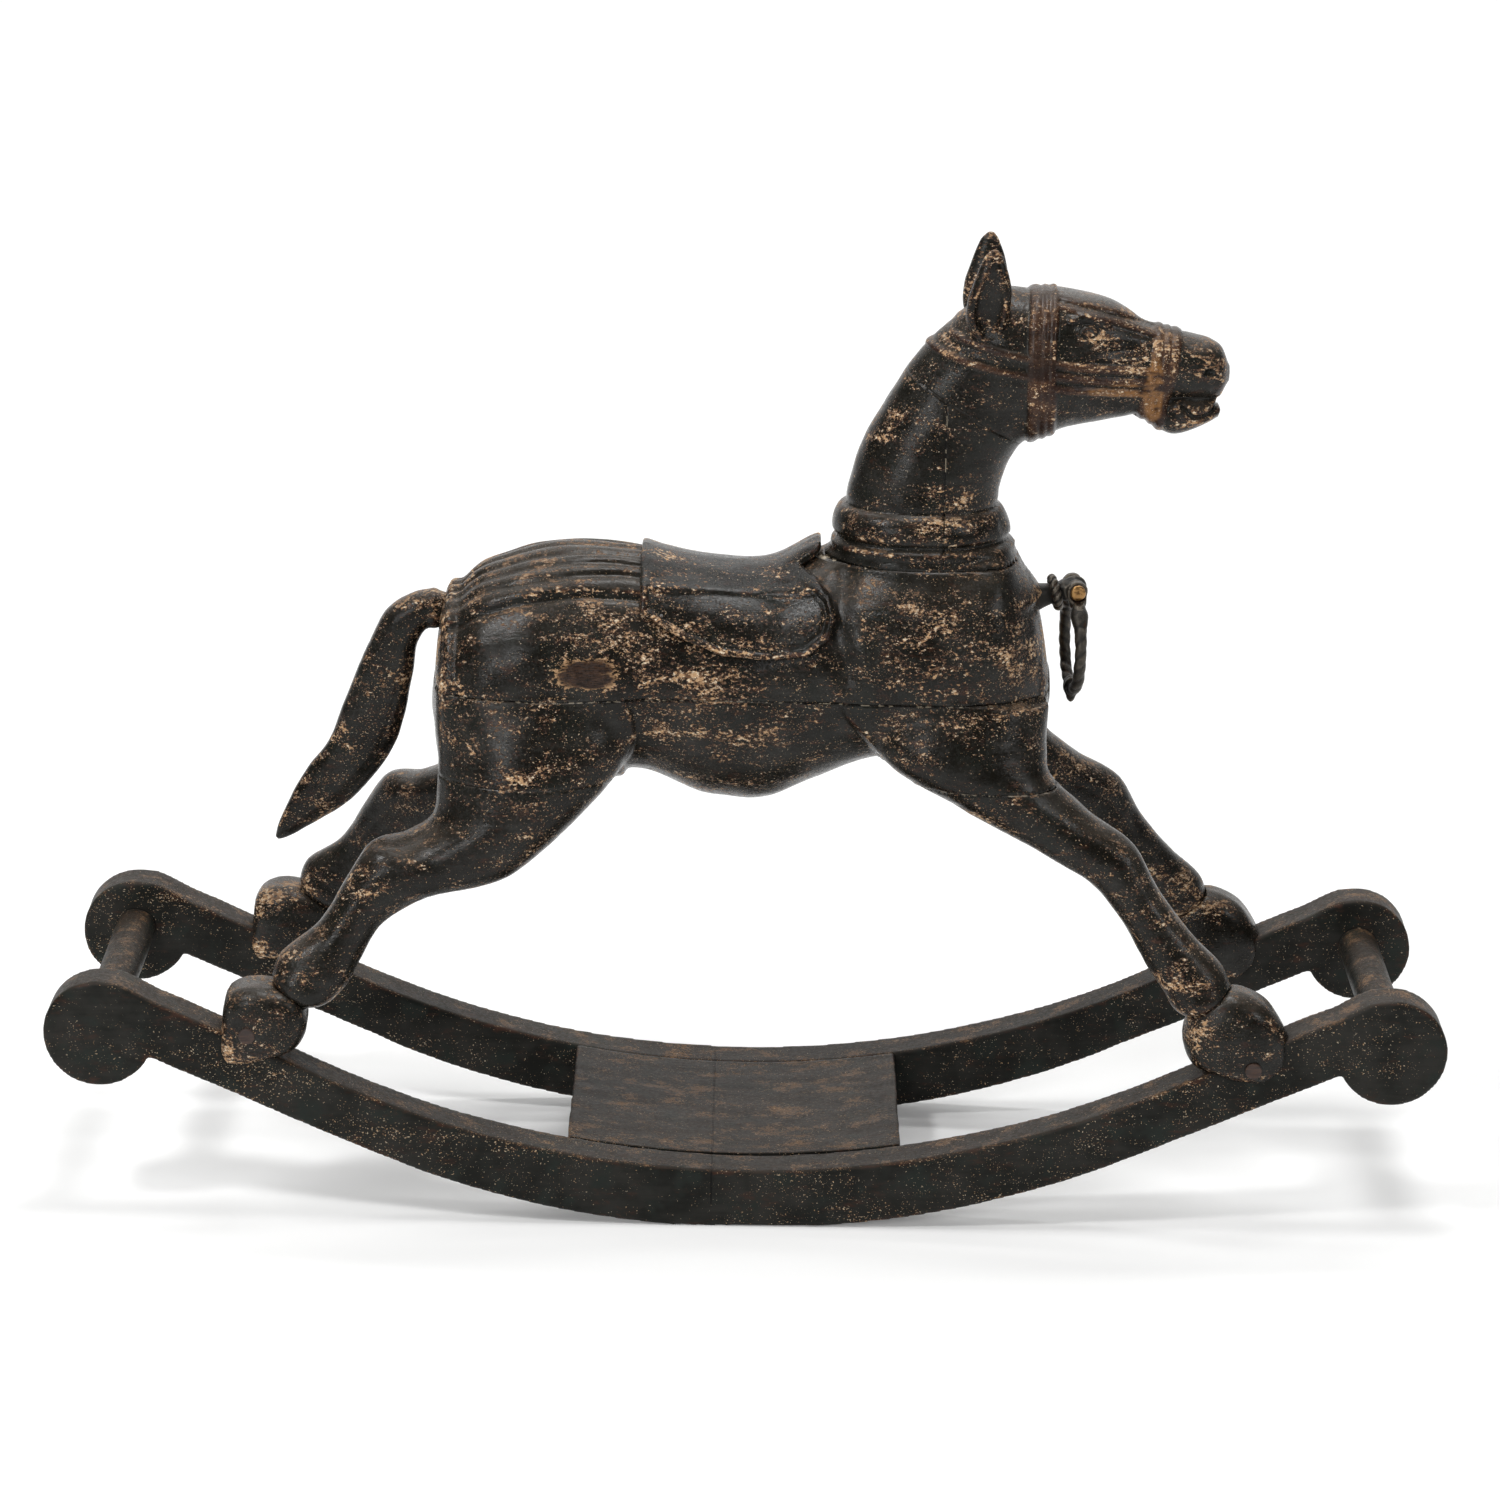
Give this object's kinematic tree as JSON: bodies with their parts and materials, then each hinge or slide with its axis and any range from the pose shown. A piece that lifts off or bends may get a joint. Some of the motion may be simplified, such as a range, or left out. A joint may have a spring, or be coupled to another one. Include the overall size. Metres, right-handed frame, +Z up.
{
  "type": "rocking horse",
  "caption": "Carved wooden rocking horse, legs outstretched, on curved rockers joined by a footboard and round bars, with a swinging pull ring on the chest.",
  "frame": {"origin": "on the floor, midway between the ends and the sides of the rockers", "axes": "+X the way the horse faces, +Y its left side, +Z up"},
  "size_m": [1.096, 0.2886, 0.759],
  "materials": {
    "horse_paint": "worn black paint over red-brown undercoat, satin",
    "saddle_paint": "worn black paint rubbed through to tan wood, satin",
    "rocker_paint": "thin dark paint with fine chips, nearly matte",
    "bare_wood": "unpainted",
    "iron": "blackened and rubbed",
    "brass": "dull, rubbed bright on top",
    "steel": "plain"
  },
  "bodies": {
    "horse": {"body_dowels": "bare_wood", "body_lower": "horse_paint", "body_upper": "horse_paint", "ear_left": "horse_paint", "ear_right": "horse_paint", "fetlock_pegs": "bare_wood", "footboard": "rocker_paint", "footboard_dowels": "bare_wood", "fore_hoof_left": "horse_paint", "fore_hoof_right": "horse_paint", "fore_leg_left": "horse_paint", "fore_leg_right": "horse_paint", "front_crossbar": "rocker_paint", "head": "horse_paint", "head_dowels": "bare_wood", "hind_hoof_left": "horse_paint", "hind_hoof_right": "horse_paint", "hind_leg_left": "horse_paint", "hind_leg_right": "horse_paint", "hoof_plugs": "horse_paint", "hoof_screws": "steel", "leg_dowels": "bare_wood", "neck_dowels": "bare_wood", "neck_front": "horse_paint", "neck_rear": "horse_paint", "rear_crossbar": "rocker_paint", "ring_collar": "iron", "ring_pin": "brass", "ring_post": "iron", "rocker_left": "rocker_paint", "rocker_right": "rocker_paint", "saddle": "saddle_paint", "saddle_nails": "steel", "tail": "horse_paint", "tail_peg": "bare_wood"},
    "ring": {"pull_ring": "iron"}
  },
  "joints": [
    {"name": "ring_swing", "type": "hinge", "parent": "horse", "child": "ring", "pos_m": [0.25298, 0.00336, 0.48942], "axis": [0.1045, -0.9945, 0], "range_deg": [-8, 200]}
  ]
}
